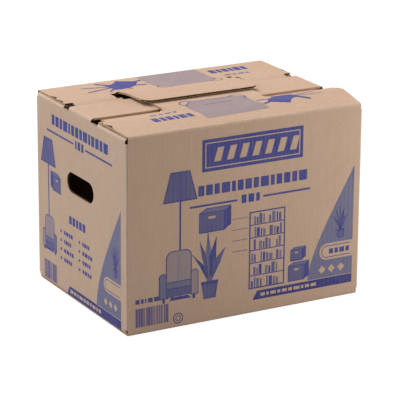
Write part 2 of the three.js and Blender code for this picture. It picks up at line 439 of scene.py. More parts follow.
def kraft_group():
    """Brown paper: clouds, long fibres, flecks and faint streaks."""
    g, gi, go = new_group("kraft_paper", [
        ("Vector", "Vector", (0, 0, 0)),
        ("Base", "Color", srgb(205, 172, 140)),
        ("Dark", "Color", srgb(160, 124, 92)),
        ("Light", "Color", srgb(226, 198, 168)),
        ("Mottle", "Float", 0.45),
        ("Speckle", "Float", 0.4),
    ], [("Colour", "Color"), ("Roughness", "Float"), ("Height", "Float")])
    v = gi.outputs["Vector"]
    broad = ranged(g, noise(g, v, 9, 4), 0.3, 0.7)
    mid = ranged(g, noise(g, v, 60, 5, 0.6), 0.3, 0.7)
    fibre_a = noise(g, stretched(g, v, (1, 1, 0.22)), 900, 4, 0.65)
    fibre_b = noise(g, stretched(g, v, (0.25, 0.25, 1)), 1300, 3, 0.6)
    fibres = math_node(g, "MULTIPLY", math_node(g, "ADD", fibre_a, fibre_b), 0.5)
    cloud = math_node(g, "MULTIPLY", math_node(g, "ADD", broad, mid), 0.5)
    tone = mixed(g, math_node(g, "MULTIPLY", cloud, gi.outputs["Mottle"], clamp=True),
                 gi.outputs["Base"], gi.outputs["Light"])
    streaks = ranged(g, noise(g, stretched(g, v, (1, 1, 0.12)), 140, 3, 0.6), 0.4, 0.7)
    tone = mixed(g, math_node(g, "MULTIPLY", streaks, 0.08), tone, gi.outputs["Dark"])
    shade = math_node(g, "MULTIPLY", ranged(g, fibres, 0.42, 0.62), 0.22)
    tone = mixed(g, shade, tone, gi.outputs["Dark"])
    flecks = ranged(g, noise(g, stretched(g, v, (1, 1, 0.4)), 520, 2, 0.5), 0.66, 0.74)
    flecked = math_node(g, "MULTIPLY", flecks, gi.outputs["Speckle"], clamp=True)
    tone = mixed(g, flecked, tone, gi.outputs["Dark"])
    give(g, go, {"Colour": tone, "Roughness": ranged(g, fibres, 0.3, 0.7, 0.78, 0.95),
                 "Height": math_node(g, "ADD", fibres, math_node(g, "MULTIPLY", mid, 0.6))})
    return g


def board_group():
    """Washboard of the flutes under the liner, dents, and creases that are lightened, partly as wear and
    partly as painted highlight.
    """
    g, gi, go = new_group("board_relief", [
        ("Height", "Float", 0.5),
        ("Washboard", "Float", 0.18),
        ("Dents", "Float", 0.5),
        ("Paper", "Float", 0.12),
    ], [("Normal", "Vector"), ("Ripple", "Float"), ("Wear_and_highlight", "Float")])
    uv = made(g, "UVMap", {}, uv_map="board")
    split = made(g, "SeparateXYZ", {0: uv.outputs[0]})
    wobble = noise(g, uv.outputs[0], 20, 2)
    phase = math_node(g, "ADD", math_node(g, "MULTIPLY", split.outputs[0], 2 * math.pi / (FLUTE * MM)),
                      math_node(g, "MULTIPLY", wobble, 0.8))
    ripple = math_node(g, "MULTIPLY_ADD", math_node(g, "SINE", phase), 0.5, 0.5)
    worn_and_lit = made(g, "Attribute", {}, attribute_name="wear")
    tex = made(g, "TexCoord", {})
    rub = ranged(g, noise(g, tex.outputs["Object"], 140, 4, 0.65), 0.35, 0.65)
    wear = math_node(g, "MULTIPLY", worn_and_lit.outputs["Fac"], rub, clamp=True)
    dents = noise(g, tex.outputs["Object"], 14, 3, 0.5)
    total = math_node(g, "MULTIPLY", ripple, gi.outputs["Washboard"])
    total = math_node(g, "ADD", total, math_node(g, "MULTIPLY", dents, gi.outputs["Dents"]))
    bump = made(g, "Bump", {"Strength": 0.35, "Distance": 0.0012, "Height": total})
    fine = made(g, "Bump", {"Strength": gi.outputs["Paper"], "Distance": 0.0003,
                            "Height": gi.outputs["Height"], "Normal": bump.outputs["Normal"]})
    give(g, go, {"Normal": fine.outputs["Normal"], "Ripple": ripple, "Wear_and_highlight": wear})
    return g


def ink_group():
    """Thin ink: the paper's fibres and the flutes' crests show through."""
    g, gi, go = new_group("printed_ink", [
        ("Vector", "Vector", (0, 0, 0)),
        ("Paper", "Color", srgb(205, 172, 140)),
        ("Ink", "Color", srgb(50, 62, 150)),
        ("Coverage", "Float", 0.9),
        ("Ripple", "Float", 0.5),
        ("Banding", "Float", 0.05),
    ], [("Colour", "Color")])
    v = gi.outputs["Vector"]
    grain = ranged(g, noise(g, v, 700, 3, 0.6), 0.3, 0.6)
    patches = ranged(g, noise(g, v, 45, 4, 0.6), 0.25, 0.75, 0.9, 1.0)
    bands = math_node(g, "MULTIPLY", gi.outputs["Ripple"], gi.outputs["Banding"])
    amount = math_node(g, "MULTIPLY", gi.outputs["Coverage"], patches)
    amount = math_node(g, "SUBTRACT", amount, bands)
    amount = math_node(g, "MULTIPLY", amount, ranged(g, grain, 0.0, 1.0, 1.0, 0.93), clamp=True)
    link(g, mixed(g, amount, gi.outputs["Paper"], gi.outputs["Ink"]), go.inputs["Colour"])
    return g


KRAFT, RELIEF, INK = kraft_group(), board_group(), ink_group()


def material(name, base, dark, light, ink=None, coverage=0.9, washboard=0.18, paper=0.12):
    """Kraft paper over flutes, with ink on it when one is given."""
    m = bpy.data.materials.new(name)
    m.use_nodes = True
    t = m.node_tree
    where = made(t, "TexCoord", {}).outputs["Object"]
    kraft = made(t, "Group", {}, node_tree=KRAFT)
    relief = made(t, "Group", {}, node_tree=RELIEF)
    give(t, kraft, {"Vector": where, "Base": base, "Dark": dark, "Light": light, "Mottle": 0.45,
                    "Speckle": 0.4})
    give(t, relief, {"Washboard": washboard, "Paper": paper, "Height": kraft.outputs["Height"]})
    ripple = ranged(t, relief.outputs["Ripple"], 0, 1, 0.0, 0.04)
    colour = mixed(t, ripple, kraft.outputs["Colour"], dark)
    if ink:
        printed = made(t, "Group", {}, node_tree=INK)
        give(t, printed, {"Vector": where, "Paper": colour, "Ripple": relief.outputs["Ripple"], "Ink": ink,
                          "Coverage": coverage})
        colour = printed.outputs["Colour"]
    # Creases and rounded corners are lightened, partly as rubbed wear and partly as painted highlight
    worn_and_lit = mixed(t, math_node(t, "MULTIPLY", relief.outputs["Wear_and_highlight"], 0.5), colour, light)
    give(t, t.nodes["Principled BSDF"], {
        "Base Color": worn_and_lit, "Roughness": kraft.outputs["Roughness"], "Normal": relief.outputs["Normal"],
        "Specular IOR Level": 0.25})
    return m


BASE, DARK, LIGHT = srgb(207, 174, 149), srgb(158, 122, 98), srgb(224, 195, 170)
outer = material("kraft_outer", BASE, DARK, LIGHT, washboard=0.08)
inner_with_shade, edge, cavity_shade, inside_shade, core_shade = [
    material("kraft_" + name, srgb(*base), srgb(*dark), srgb(*light), washboard=washboard, paper=paper)
    for name, base, dark, light, washboard, paper in (
        # The inner liner's colour: darker than the outer, partly its own tone and partly painted shade for
        # the gaps under the flaps
        ("inner_with_shade", (156, 122, 94), (116, 86, 62), (178, 144, 114), 0.4, 0.12),
        ("edge", (188, 152, 122), (132, 98, 72), (210, 176, 146), 0.0, 0.4),
        # Painted shade: a darker colour for the liners' faces towards the flutes, the hand hole's rim and
        # the notch blocks, standing in for shade in these recesses
        ("cavity_shade", (112, 82, 58), (74, 52, 36), (136, 102, 74), 0.0, 0.12),
        # Painted shade: a darker board colour for the walls' inner faces and for the wings under the long
        # flaps
        ("inside_shade", (118, 90, 66), (84, 62, 44), (138, 106, 80), 0.4, 0.12),
        # Painted shade: a near-black colour for the crease ends at the corner slots and for the torn
        # strips, where shade falls deep in the board
        ("core_shade", (50, 35, 24), (30, 20, 14), (74, 54, 38), 0.0, 0.4))]
deep_ink, dark_ink, mid_ink, pale_ink, grey_ink = [
    material("ink_" + name, BASE, DARK, LIGHT, ink=colour, coverage=coverage)
    for name, colour, coverage in (
        ("deep", srgb(2, 40, 128), 1.0), ("dark", srgb(30, 58, 142), 1.0), ("mid", srgb(52, 74, 138), 0.92),
        ("pale", srgb(84, 100, 144), 0.9), ("grey", srgb(126, 122, 146), 0.68))]


# ------------ carton
def around(at, *offsets):
    return [at + d for d in offsets]


board = Builder()
# Positions across and along each flap: closer together where it bends or where a cut runs
beside_slit = [CENTRE_HALF + side * d for side in (-1, 1)
               for d in (SLIT / 2, 2, 3.2, 4.6, 6.2, 8.2, 10.6, 14, 18, 24)]
front_across = filled(both([0, 30, 60, 140, 165, EAR_HALF, LONG_HALF] + beside_slit), 8)
front_runs = filled(steps([FOLD + 2, 10, 20, 30, 40, 47, RIDGE, 55, 62, 70, 78, 86, NOTCH_ROW, EAR_END]
                          + around(SLIT_ROW, -4, 0, 2, 4, 6, 8) + around(DIP_END, -1, 0, 12)
                          + [HW - 12, FRONT_END]), 6)
back_across = filled(both([0, 40, 75, TONGUE_HALF - TONGUE_ROUND, 86, 89, 92, 94.5, 96.3, 97.4, 155]
                          + around(SLOT_IN, 0, 2, 4, EAR_NECK, 8, 11) + around(SLOT_OUT, 0, 6, 12)
                          + [EAR_HALF, LONG_HALF]), 8)
back_runs = filled(steps([FOLD + 2, 15, NOTCH_ROW, DIP_END, TONGUE_FLAT, EAR_END, TONGUE_END]
                         + around(SLOT_ROW, -30, -20, -10, 0, 8, EAR_HOLE, 30) + around(HW, -8, 6)), 6)
tab_across = filled(both([0, TAB_HALF - TAB_ROUND, 32, 34.5, 36.2, TAB_HALF, WING_START, END_HALF]), 10)
tab_runs = filled(steps([FOLD + 2, WING_LENGTH * 0.5, WING_LENGTH - 12, WING_LENGTH, TAB_LENGTH]), 10)
tongue_fit = rounded_end(TONGUE_END, TONGUE_HALF, TONGUE_ROUND, TONGUE_END - 30)
tab_fit = rounded_end(TAB_LENGTH, TAB_HALF, TAB_ROUND, TAB_LENGTH - 25)

flaps = [
    (front_across, front_runs, front_level, front_keep, front_of, as_is),
    (back_across, back_runs, back_level, back_keep, back_of, tongue_fit),
    (tab_across, tab_runs, end_level, end_keep, left_of, tab_fit),
    (tab_across, tab_runs, end_level, end_keep, right_of, tab_fit),
]
for across, runs, level, keep, place, fit in flaps:
    args = (across, runs, level, keep, RING_TOP, place, fit)
    # Painted shade: the wings of the end flaps lie under the long flaps, so their outer faces are given the
    # darker colour of the carton's inside
    wing_shade = (lambda v, s: abs(v) > TAB_HALF and s > 30) if level is end_level else None
    # Painted shade: each liner's face towards the flutes gets the darker recess colour
    add_sheet(board, *args, low=0.0, high=LINER, slots=(OUTER, CAVITY_SHADE, EDGE), rim=BOARD, shade_where=wing_shade,
              # Painted shade: the crease ends at the corner slots are near-black
              crease_end=CORE_SHADE)
    add_sheet(board, *args, low=BOARD - LINER, high=BOARD, slots=(CAVITY_SHADE, INNER_WITH_SHADE, EDGE), rim=0.0)
    add_wave(board, *args)

# Bottom flaps: plain sheets, the long pair outside
for places, reach, crease, half in (((front_of, back_of), HW - 0.5, 0.0, LONG_HALF),
                                    ((left_of, right_of), 140.0, LAYER, END_HALF)):
    for place in places:
        add_sheet(board, filled([-half, half], 40), filled([10.0, reach], 30), lambda v, s, c=crease: -c,
                  lambda v, s: True, -RING_BOTTOM, turned(place))


HOLE_TURNS = 10


# Walls: flat panels with rounded vertical corners between them
def add_wall(b, place, half, hole=None):
    """A flat panel; the hole is half its length, half its height and the height of its middle."""
    def panel(depth, slot, flip):
        def quad(corners):
            ids = [b.point(place(depth, v, z), (v, z)) for v, z in corners]
            b.face(ids[::-1] if flip else ids, slot)
        if not hole:
            quad([(-half, RING_BOTTOM), (-half, RING_TOP), (half, RING_TOP), (half, RING_BOTTOM)])
            return
        hl, hh, hz = hole
        vs, zs = [-half, -hl, hl, half], [RING_BOTTOM, hz - hh, hz + hh, RING_TOP]
        for i in range(3):
            for j in range(3):
                if (i, j) != (1, 1):
                    quad([(vs[i], zs[j]), (vs[i], zs[j + 1]), (vs[i + 1], zs[j + 1]), (vs[i + 1], zs[j])])
        for sv in (-1, 1):
            for sz in (-1, 1):
                quarter = [(sv * (hl - hh + hh * math.sin(t)), hz + sz * hh * math.cos(t))
                           for t in quarter_turn(HOLE_TURNS)]
                loop = [(sv * hl, hz + sz * hh)] + quarter
                area = sum(p[0] * q[1] - q[0] * p[1] for p, q in zip(loop, loop[1:] + loop[:1]))
                quad(loop if area < 0 else loop[::-1])
    panel(0.0, OUTER, False)
    # Painted shade: the wall's inner face is given the darker colour for the carton's shaded inside
    panel(BOARD, INSIDE_SHADE, True)
    if hole:
        hl, hh, hz = hole
        rim = []
        for k in range(4 * HOLE_TURNS):
            t = math.pi / 2 * k / HOLE_TURNS + 1e-6
            side = 1 if math.cos(t) > 0 else -1
            rim.append((side * (hl - hh) + hh * math.cos(t), hz + hh * math.sin(t)))
        for k, (p, q) in enumerate(zip(rim, rim[1:] + rim[:1])):
            run = k * 7.0
            ids = [b.point(place(0.0, *p), (run, 0)), b.point(place(BOARD, *p), (run, 3)),
                   b.point(place(BOARD, *q), (run + 7, 3)), b.point(place(0.0, *q), (run + 7, 0))]
            # Painted shade: the hand hole's cut rim gets the darker recess colour
            b.face(ids, CAVITY_SHADE)
    for z, flip in ((RING_BOTTOM, False), (RING_TOP, True)):
        ids = [b.point(place(d, v, z), (v, d))
               for d, v in ((0, -half), (BOARD, -half), (BOARD, half), (0, half))]
        b.face(ids[::-1] if flip else ids, EDGE)


for place in (front_of, back_of):
    add_wall(board, place, HL - CORNER)
for place in (left_of, right_of):
    add_wall(board, place, HW - CORNER, (HAND_LENGTH / 2, HAND_HEIGHT / 2, HAND_Z))
for sx in (-1, 1):
    for sy in (-1, 1):
        cx, cy = sx * (HL - CORNER), sy * (HW - CORNER)
        bend = [(cx + sx * CORNER * math.cos(t), cy + sy * CORNER * math.sin(t)) for t in quarter_turn(8)]
        # The rounded corners are marked for the same lightening as the creases: partly wear, partly painted
        # highlight
        cols = [[board.point((x, y, z), (k * 0.6, z), 1.0) for z in (RING_BOTTOM, RING_TOP)]
                for k, (x, y) in enumerate(bend)]
        for a, c in zip(cols, cols[1:]):
            face = [a[0], c[0], c[1], a[1]]
            board.face(face if sx * sy > 0 else face[::-1], OUTER)
        for z, flip in ((RING_BOTTOM, True), (RING_TOP, False)):
            fan = [board.point((x, y, z), (0, 0)) for x, y in [(cx, cy)] + bend]
            board.face(fan if (sx * sy > 0) != flip else fan[::-1], EDGE)

# A torn curl of liner at the left hand hole
CURL_START, CURL_STEP, CURL_COUNT = 196, 7, 7
for k in range(CURL_COUNT):
    ring = []
    for n in (k, k + 1):
        t = math.radians(CURL_START + CURL_STEP * n)
        thin = math.sin(math.pi * n / CURL_COUNT)
        for out, depth in ((HAND_HEIGHT / 2, -0.05), (HAND_HEIGHT / 2 - 1.2 * thin, -1.3 * thin - 0.05),
                           (HAND_HEIGHT / 2 - 2.9 * thin, -0.7 * thin)):
            ring.append(board.point(left_of(depth, -(HAND_LENGTH - HAND_HEIGHT) / 2 + out * math.cos(t),
                                            HAND_Z + out * math.sin(t)), (out, k * 2.0)))
    a, c = ring[:3], ring[3:]
    for n in range(2):
        board.face([a[n], a[n + 1], c[n + 1], c[n]], EDGE)


def add_block(b, lo, hi, slots):
    """A plain block, with a slot each for its left, right, front, back, lower and upper face."""
    ids = [b.point((x, y, z), (x, z))
           for x in (lo[0], hi[0]) for y in (lo[1], hi[1]) for z in (lo[2], hi[2])]
    sides = ((0, 1, 3, 2), (4, 6, 7, 5), (0, 4, 5, 1), (2, 3, 7, 6), (0, 2, 6, 4), (1, 5, 7, 3))
    for f, slot in zip(sides, slots):
        b.face([ids[k] for k in f], slot)


# Glue flap within the back wall, and the top edge of the end walls behind the notches; the notch blocks'
# faces, apart from the end's outer face, get the darker recess colour as painted shade
add_block(board, (HL - BOARD - 35, HW - 2 * BOARD + 0.3, 14), (HL - BOARD, HW - BOARD + 0.2, 286),
          [INNER_WITH_SHADE] * 6)
for sx in (-1, 1):
    x0, x1 = sorted((sx * HL, sx * (HL - BOARD)))
    for sy in (-1, 1):
        y0, y1 = sorted((sy * TAB_HALF, sy * WING_START))
        ends = [OUTER, CAVITY_SHADE] if sx < 0 else [CAVITY_SHADE, OUTER]
        add_block(board, (x0, y0, RING_TOP), (x1, y1, HEIGHT - FOLD / 2), ends + [CAVITY_SHADE] * 4)

carton = board.object("carton_board", [outer, inner_with_shade, edge, cavity_shade, inside_shade, core_shade])
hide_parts("carton")
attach(carton, "root")

# ------------ print
SKIN, INK_LAYER, CUT = 0.07, 0.025, 7


class Print:
    """Thin shapes of ink that lie on the outer faces."""

    def __init__(self, name, where, slots):
        self.bm = bmesh.new()
        self.uv = self.bm.loops.layers.uv.new("board")
        self.where, self.name, self.slots = where, name, slots

    def add(self, points, faces, slot, lift):
        """Flat faces, cut in a grid where they follow a bent flap."""
        part = bmesh.new()
        verts = [part.verts.new((x, y, 0)) for x, y in points]
        for f in faces:
            part.faces.new([verts[k] for k in f])
        bmesh.ops.triangulate(part, faces=[f for f in part.faces if len(f.verts) > 4])
        if self.where in ("front_flap", "back_flap"):
            for axis in (0, 1):
                values = [v.co[axis] for v in part.verts]
                cuts = [CUT * n for n in range(math.ceil(min(values) / CUT), math.ceil(max(values) / CUT))]
                if axis and self.where == "front_flap":
                    cuts += around(-HW + RIDGE, -4, -2, 0, 2, 4)
                for at in cuts:
                    co, no = [0, 0, 0], [0, 0, 0]
                    co[axis], no[axis] = at, 1
                    geom = part.verts[:] + part.edges[:] + part.faces[:]
                    bmesh.ops.bisect_plane(part, geom=geom, plane_co=co, plane_no=no)
        part.normal_update()
        index = {v: (self.bm.verts.new(self.map(v.co.x, v.co.y, lift)), v.co.x, v.co.y)
                 for v in part.verts}
        for f in part.faces:
            ring = [index[v] for v in f.verts]
            if (f.normal.z < 0) != (self.where in ("left", "right")):
                ring.reverse()
            face = self.bm.faces.new([r[0] for r in ring])
            face.material_index = slot
            face.smooth = True
            for loop, (_, x, y) in zip(face.loops, ring):
                u = -x if self.where in ("left", "right", "back_flap") else x
                loop[self.uv].uv = (u * MM, y * MM)
        part.free()

    def map(self, x, y, lift):
        """From the print's own flat place to its place on the carton."""
        up = SKIN + INK_LAYER * lift
        if self.where in ("front", "back"):
            p = (x, -HW - up, y) if self.where == "front" else (-x, HW + up, y)
        elif self.where in ("left", "right"):
            p = (-HL - up, x, y) if self.where == "left" else (HL + up, -x, y)
        elif self.where == "front_flap":
            p = (x, y, front_level(x, y + HW) + up)
        else:
            p = (x, y, back_level(-x, HW - y) + up)
        return Vector(p) * MM

    def shape(self, points, slot=0, lift=0):
        self.add(points, [list(range(len(points)))], slot, lift)

    def rect(self, x0, y0, x1, y1, slot=0, lift=0):
        self.shape([(x0, y0), (x1, y0), (x1, y1), (x0, y1)], slot, lift)

    def line(self, points, width, slot=0, lift=0):
        """A stroke with mitred corners; closed when it ends where it starts."""
        closed = math.dist(points[0], points[-1]) < 1e-6
        path = points[:-1] if closed else points
        n = len(path)
        sides = []
        for k, (x, y) in enumerate(path):
            before = path[k - 1] if closed or k else None
            after = path[(k + 1) % n] if closed or k < n - 1 else None
            normals = []
            for a, c in ((before, (x, y)), ((x, y), after)):
                if a and c:
                    size = math.dist(a, c)
                    normals.append((-(c[1] - a[1]) / size, (c[0] - a[0]) / size))
            nx, ny = sum(q[0] for q in normals) / len(normals), sum(q[1] for q in normals) / len(normals)
            grow = width / 2 / max(0.3, nx * nx + ny * ny)
            sides.append(((x + nx * grow, y + ny * grow), (x - nx * grow, y - ny * grow)))
        flat = [q for pair in sides for q in pair]
        count = n if closed else n - 1
        faces = [[2 * k, 2 * k + 1, (2 * k + 3) % (2 * n), (2 * k + 2) % (2 * n)] for k in range(count)]
        self.add(flat, faces, slot, lift)

    def outlined(self, points, width, slot, lift):
        self.shape(points, slot, lift)
        self.line(points + points[:1], width, DARK_INK, lift + 1)

    def oval(self, cx, cy, rx, ry, slot=0, lift=0, n=28):
        self.shape([(cx + rx * math.cos(2 * math.pi * k / n), cy + ry * math.sin(2 * math.pi * k / n))
                    for k in range(n)], slot, lift)

    def ring(self, cx, cy, rx, ry, width, slot=0, lift=0, n=28):
        points = []
        for k in range(n + 1):
            t = 2 * math.pi * (k % n) / n
            points.append((cx + (rx - width / 2) * math.cos(t), cy + (ry - width / 2) * math.sin(t)))
        self.line(points, width, slot, lift)

    def bars(self, x0, x1, y0, y1, widths, gap, slot=0, lift=0):
        k = (x1 - x0) / (sum(widths) + gap * (len(widths) - 1))
        x = x0
        for w in widths:
            self.rect(x, y0, x + w * k, y1, slot, lift)
            x += (w + gap) * k

    def done(self):
        mesh = bpy.data.meshes.new(self.name)
        self.bm.to_mesh(mesh)
        self.bm.free()
        for m in self.slots:
            mesh.materials.append(m)
        obj = linked(self.name, mesh)
        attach(obj, "root")


INKS = [dark_ink, mid_ink, pale_ink, grey_ink, outer, core_shade, deep_ink]


def torn_edge(p, side, y0, y1, depth, seed):
    """Torn liner along a flap's end: a ragged strip where the liner is torn, coloured near-black as painted
    shade in the exposed board.
    """
    chance = random.Random(seed)
    count = max(4, round(abs(y1 - y0) / 2.2))
    inner_side = []
    for k in range(count + 1):
        bite = depth * math.sin(math.pi * k / count) * chance.uniform(0.35, 1.0)
        inner_side.append((side * (LONG_HALF - 0.3 - bite), y0 + (y1 - y0) * k / count))
    outer_side = [(side * (LONG_HALF + 0.05), y) for _, y in inner_side]
    flat = [q for pair in zip(inner_side, outer_side) for q in pair]
    p.add(flat, [[2 * k, 2 * k + 1, 2 * k + 3, 2 * k + 2] for k in range(count)], TORN_SHADE, 1)


def arc(cx, cy, rx, ry, a0, a1, n=14):
    return [(cx + rx * math.cos(math.radians(a0 + (a1 - a0) * k / n)),
             cy + ry * math.sin(math.radians(a0 + (a1 - a0) * k / n))) for k in range(n + 1)]


def wedge(p, side, bottom, top, foot, lean):
    """Pale field with one upright side and one curved one, from its foot up to a point."""
    curve = []
    for k in range(15):
        t = k / 14
        in_to_side = (1 - math.cos(t * math.pi / 2)) ** lean
        curve.append((foot + (side - foot) * in_to_side, bottom + (top - bottom) * t))
    p.shape([(side, bottom), (side, top)] + curve[::-1], PALE_INK)


def tapered(x, low, half_low, high, half_high):
    return [(x - half_low, low), (x + half_low, low), (x + half_high, high), (x - half_high, high)]


def lamp(p, x, z0, z1, k=1.0):
    """A standing lamp with a pleated shade."""
    p.line([(x, z0 + 5), (x, z1 - 38 * k)], 3.0, DARK_INK)
    p.shape(tapered(x, z0, 17 * k, z0 + 5, 12 * k), DARK_INK, 1)
    p.outlined(tapered(x, z1 - 40 * k, 25 * k, z1, 14 * k), 1.8, MID_INK, 2)
    for t in (-0.5, 0, 0.5):
        p.line([(x + 25 * k * t, z1 - 38.5 * k), (x + 14 * k * t, z1 - 1.5 * k)], 0.9, DARK_INK, 3)


def chair(p, x, z, k=1.0):
    """An armchair seen from the front."""
    back = [(x - 18 * k, z + 26 * k)] + arc(x - 10 * k, z + 58 * k, 8 * k, 10 * k, 180, 90, 6) + \
        arc(x + 10 * k, z + 58 * k, 8 * k, 10 * k, 90, 0, 6) + [(x + 18 * k, z + 26 * k)]
    p.outlined(back, 1.5, GREY_INK, 4)
    p.outlined(tapered(x, z + 18 * k, 18 * k, z + 27 * k, 18 * k), 1.3, PALE_INK, 6)
    p.rect(x - 18 * k, z + 7 * k, x + 18 * k, z + 18 * k, MID_INK, 6)
    for side in (-1, 1):
        x0, x1 = sorted((x + side * 18 * k, x + side * 28 * k))
        arm = [(x0, z + 6 * k), (x1, z + 6 * k), (x1, z + 32 * k)] + \
            arc((x0 + x1) / 2, z + 34 * k, 5.5 * k, 5.5 * k, 0, 180, 8) + [(x0, z + 32 * k)]
        p.outlined(arm, 1.3, GREY_INK if side > 0 else PALE_INK, 8)
        p.rect(x + side * 22 * k - 2, z, x + side * 22 * k + 2, z + 6 * k, DARK_INK, 6)
    p.line([(x, z + 29 * k), (x, z + 64 * k)], 0.9, PALE_INK, 5.5)


def plant(p, x, z, k=1.0):
    """Long leaves in a pot."""
    p.outlined(tapered(x, z, 11 * k, z + 26 * k, 15 * k), 1.5, MID_INK, 1)
    p.rect(x - 17 * k, z + 26 * k, x + 17 * k, z + 31 * k, DARK_INK, 1)
    for n, (lean, tall) in enumerate(((-34, 52), (-20, 74), (-4, 88), (13, 78), (30, 56))):
        base, tip = (x + lean * 0.12 * k, z + 31 * k), (x + lean * k, z + (31 + tall) * k)
        mx, my = (base[0] + tip[0]) / 2 - lean * 0.12 * k, (base[1] + tip[1]) / 2 + 4 * k
        w = 6.5 * k
        leaf = [base, (mx + w, my - w * 0.4), tip, (mx - w, my + w * 0.4)]
        p.shape(leaf, (DARK_INK, MID_INK, PALE_INK)[n % 3], 3 + n)
        p.line([base, (mx, my), tip], 1.0, DARK_INK, 9)


def shelf(p, x0, z0, x1, z1, rows):
    """A shelf with rows of books."""
    p.line([(x0, z0), (x0, z1), (x1, z1), (x1, z0), (x0, z0)], 2.2, DARK_INK, 1)
    for r in range(1, rows):
        z = z0 + (z1 - z0) * r / rows
        p.line([(x0 + 1.2, z), (x1 - 1.2, z)], 1.6, DARK_INK, 1)
    for r in range(rows):
        z = z0 + (z1 - z0) * r / rows + 1.2
        h = (z1 - z0) / rows
        x = x0 + 3 + 4 * (r % 2)
        for n, w in enumerate((4, 3, 6, 3, 5, 4, 7, 3, 5, 4, 6, 3)):
            if x + w > x1 - 3:
                break
            if (n + r) % 5 != 4:
                top = z + h * (0.52 + 0.09 * ((n * 3 + r) % 4))
                p.rect(x, z, x + w * 0.84, top, (DARK_INK, MID_INK, PALE_INK)[(n + r) % 3], 1)
            x += w + 1.0


def carton_sketch(p, x, z, w, h, d):
    """A plain carton seen from its front and right."""
    u = d * 0.6
    p.rect(x, z, x + w, z + h, MID_INK)
    p.shape([(x, z + h), (x + w, z + h), (x + w + d, z + h + u), (x + d, z + h + u)], PALE_INK)
    p.shape([(x + w, z), (x + w + d, z + u), (x + w + d, z + h + u), (x + w, z + h)], DARK_INK)
    p.line([(x, z), (x + w, z), (x + w, z + h), (x, z + h), (x, z)], 1.3, DARK_INK, 1)
    p.line([(x, z + h), (x + d, z + h + u), (x + w + d, z + h + u), (x + w + d, z + u)], 1.3, DARK_INK, 2)
    p.rect(x + w * 0.36, z + h * 0.68, x + w * 0.64, z + h * 0.8, PAPER, 3)


def diamond(p, x, z, r):
    p.shape([(x, z - r), (x + r, z), (x, z + r), (x - r, z)], PAPER, 1)


# Widths of the bars in each row; a row is stretched to its length
BANNER_LINE = [9, 10, 8, 13, 6, 9, 10, 8, 13, 6, 9, 10, 8, 13]
SHORT_LINE = [7, 8, 5]
STRIP_LINE = [7, 4, 9, 5, 8, 6, 10, 4, 7, 9]


def print_long_wall(name, where):
    """Banner, bars, a lamp, a chair, plants, a shelf and a corner wedge."""
    f = Print(name, where, INKS)
    f.rect(-76, 234, 96, 283)
    f.line([(-70, 240), (90, 240), (90, 277), (-70, 277), (-70, 240)], 1.6, PAPER, 1)
    for k in range(7):
        x = -56 + 21.5 * k
        f.shape([(x, 248), (x + 11, 248), (x + 17, 269), (x + 6, 269)], PAPER, 1)
    f.bars(-82, 104, 198, 214, BANNER_LINE, 3)
    f.rect(-96, 181.5, -16, 184.5)
    f.rect(28, 181.5, 110, 184.5)
    f.bars(-9, 22, 177, 190, SHORT_LINE, 3)
    lamp(f, -112, 44, 240, 1.1)
    chair(f, -114, 42, 1.15)
    plant(f, -62, 38, 0.86)
    carton_sketch(f, -80, 141, 42, 30, 11)
    shelf(f, 6, 40, 66, 160, 6)
    carton_sketch(f, 74, 40, 28, 24, 8)
    carton_sketch(f, 78, 72, 20, 17, 6)
    for z in (154, 137, 120, 103):
        f.line([(-24, z), (2, z)], 1.0, MID_INK)
    wedge(f, 188, 36, 208, 108, 0.75)
    f.shape([(12, 21), (188, 21), (188, 35), (20, 35)], DEEP_INK)
    f.bars(26, 124, 25.5, 30.5, STRIP_LINE, 2.5, PAPER, 1)
    f.shape([(188, 64), (188, 90)] + arc(142, 77, 13, 13, 90, 270), PAPER, 1)
    f.line([(184, 68)] + arc(142, 77, 9, 9, 270, 90) + [(184, 86)], 1.2, DARK_INK, 2)
    f.bars(146, 182, 73, 81, [6, 5, 7, 5], 2, DARK_INK, 2)
    for x in (134, 151, 168):
        diamond(f, x, 49, 6.5)
    plant(f, 166, 97, 0.42)
    f.ring(-115, 15, 8.5, 8.5, 1.6)
    f.ring(-115, 15, 4.5, 4.5, 1.2)
    f.bars(-186, -122, 48, 55, [6, 4, 2, 7, 7, 7, 3, 6], 2)
    f.done()


def print_end_wall(name, where):
    """Bars, a lamp, a chair, a short list and a corner wedge."""
    e = Print(name, where, INKS)
    e.bars(-92, 96, 262, 278, [13, 8, 10, 9, 6, 13, 8, 10, 9, 6, 13, 8, 10, 9], 3)
    e.rect(22, 248.5, 114, 251.5)
    e.rect(-105, 248.5, -18, 251.5)
    e.bars(-12, 16, 244, 257, SHORT_LINE, 3)
    lamp(e, 110, 56, 236)
    chair(e, 108, 54, 0.85)
    carton_sketch(e, 68, 158, 26, 24, 8)
    e.bars(-16, 39, 120, 133, [10, 9, 8, 9, 9], 3)
    for column, (dot, end) in enumerate(((68, 58), (5, -5))):
        for k, z in enumerate((100, 85.5, 71, 56.5)):
            e.oval(dot, z, 2.6, 2.6)
            length = (30, 24, 33, 27)[(k + column) % 4]
            e.bars(end - length, end, z - 3.2, z + 3.2, [5, 4, 7, 5], 1.6)
    wedge(e, -132, 20, 189, -52, 0.8)
    e.shape([(48, 5), (-132, 5), (-132, 19), (40, 19)], DEEP_INK)
    e.bars(-66, 38, 9, 14.5, STRIP_LINE, 2.5, PAPER, 1)
    e.shape([(-132, 50), (-132, 74)] + arc(-88, 62, 12, 12, 90, -90), PAPER, 1)
    e.line([(-128, 54)] + arc(-88, 62, 8, 8, -90, 90) + [(-128, 70)], 1.2, DARK_INK, 2)
    for x in (-114, -98, -82):
        diamond(e, x, 34, 6)
    plant(e, -114, 82, 0.4)
    e.done()


